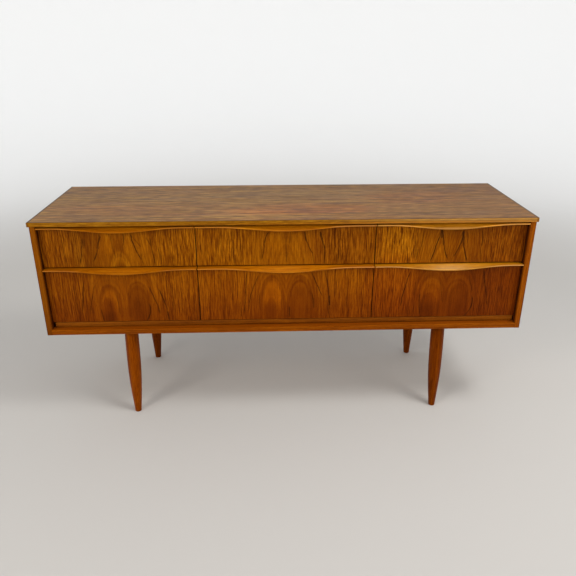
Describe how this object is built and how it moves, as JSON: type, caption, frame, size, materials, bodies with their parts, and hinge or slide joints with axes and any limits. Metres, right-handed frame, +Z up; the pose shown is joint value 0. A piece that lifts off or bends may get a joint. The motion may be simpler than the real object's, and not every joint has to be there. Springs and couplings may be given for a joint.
{
  "type": "sideboard buffet",
  "caption": "Low teak sideboard with drawers in a shallow row over a deep row, full-width curved lip pulls, a plain flat top and turned tapered legs.",
  "frame": {"origin": "on the floor, under the middle of the top", "axes": "+Z up, +X along the width towards the right seen from the front, drawers open towards -Y"},
  "size_m": [1.52, 0.448, 0.685],
  "materials": {
    "teak_top_veneer": "worn satin, fine grain along the width",
    "teak_case_veneer": "satin, upright grain",
    "teak_front_veneer": "satin, upright grain in mirrored leaves",
    "teak_solid": "satin, solid",
    "carcass_board": "matt veneered board",
    "softwood": "planed, unfinished",
    "drawer_wood": "planed, waxed",
    "drawer_plywood": "sanded",
    "hardboard": "matt",
    "steel": "zinc plated"
  },
  "bodies": {
    "carcass": {"top_panel": "teak_top_veneer", "left_side_panel": "teak_case_veneer", "right_side_panel": "teak_case_veneer", "top_front_lipping": "teak_solid", "top_end_lippings": "teak_solid", "side_front_lippings": "teak_solid", "bottom_front_lipping": "teak_solid", "bottom_front_rail": "teak_solid", "leg_front_left": "teak_solid", "leg_front_right": "teak_solid", "leg_back_left": "teak_solid", "leg_back_right": "teak_solid", "bottom_panel": "carcass_board", "left_divider": "carcass_board", "right_divider": "carcass_board", "top_front_rail": "softwood", "top_back_rail": "softwood", "drawer_runners": "softwood", "back_panel": "hardboard", "leg_plates": "steel", "leg_studs": "steel", "leg_plate_screws": "steel", "top_fixing_screws": "steel", "back_panel_screws": "steel"},
    "upper_left_drawer": {"upper_left_drawer_front": "teak_front_veneer", "upper_left_drawer_lip": "teak_solid", "upper_left_drawer_left_side": "drawer_wood", "upper_left_drawer_right_side": "drawer_wood", "upper_left_drawer_back": "drawer_wood", "upper_left_drawer_bottom": "drawer_plywood"},
    "upper_centre_drawer": {"upper_centre_drawer_front": "teak_front_veneer", "upper_centre_drawer_lip": "teak_solid", "upper_centre_drawer_left_side": "drawer_wood", "upper_centre_drawer_right_side": "drawer_wood", "upper_centre_drawer_back": "drawer_wood", "upper_centre_drawer_bottom": "drawer_plywood"},
    "upper_right_drawer": {"upper_right_drawer_front": "teak_front_veneer", "upper_right_drawer_lip": "teak_solid", "upper_right_drawer_left_side": "drawer_wood", "upper_right_drawer_right_side": "drawer_wood", "upper_right_drawer_back": "drawer_wood", "upper_right_drawer_bottom": "drawer_plywood"},
    "lower_left_drawer": {"lower_left_drawer_front": "teak_front_veneer", "lower_left_drawer_lip": "teak_solid", "lower_left_drawer_left_side": "drawer_wood", "lower_left_drawer_right_side": "drawer_wood", "lower_left_drawer_back": "drawer_wood", "lower_left_drawer_bottom": "drawer_plywood"},
    "lower_centre_drawer": {"lower_centre_drawer_front": "teak_front_veneer", "lower_centre_drawer_lip": "teak_solid", "lower_centre_drawer_left_side": "drawer_wood", "lower_centre_drawer_right_side": "drawer_wood", "lower_centre_drawer_back": "drawer_wood", "lower_centre_drawer_bottom": "drawer_plywood"},
    "lower_right_drawer": {"lower_right_drawer_front": "teak_front_veneer", "lower_right_drawer_lip": "teak_solid", "lower_right_drawer_left_side": "drawer_wood", "lower_right_drawer_right_side": "drawer_wood", "lower_right_drawer_back": "drawer_wood", "lower_right_drawer_bottom": "drawer_plywood"}
  },
  "joints": [
    {"name": "upper_left_drawer_slide", "type": "slide", "parent": "carcass", "child": "upper_left_drawer", "axis": [0, -1, 0], "range_m": [0, 0.3]},
    {"name": "upper_centre_drawer_slide", "type": "slide", "parent": "carcass", "child": "upper_centre_drawer", "axis": [0, -1, 0], "range_m": [0, 0.3]},
    {"name": "upper_right_drawer_slide", "type": "slide", "parent": "carcass", "child": "upper_right_drawer", "axis": [0, -1, 0], "range_m": [0, 0.3]},
    {"name": "lower_left_drawer_slide", "type": "slide", "parent": "carcass", "child": "lower_left_drawer", "axis": [0, -1, 0], "range_m": [0, 0.3]},
    {"name": "lower_centre_drawer_slide", "type": "slide", "parent": "carcass", "child": "lower_centre_drawer", "axis": [0, -1, 0], "range_m": [0, 0.3]},
    {"name": "lower_right_drawer_slide", "type": "slide", "parent": "carcass", "child": "lower_right_drawer", "axis": [0, -1, 0], "range_m": [0, 0.3]}
  ]
}
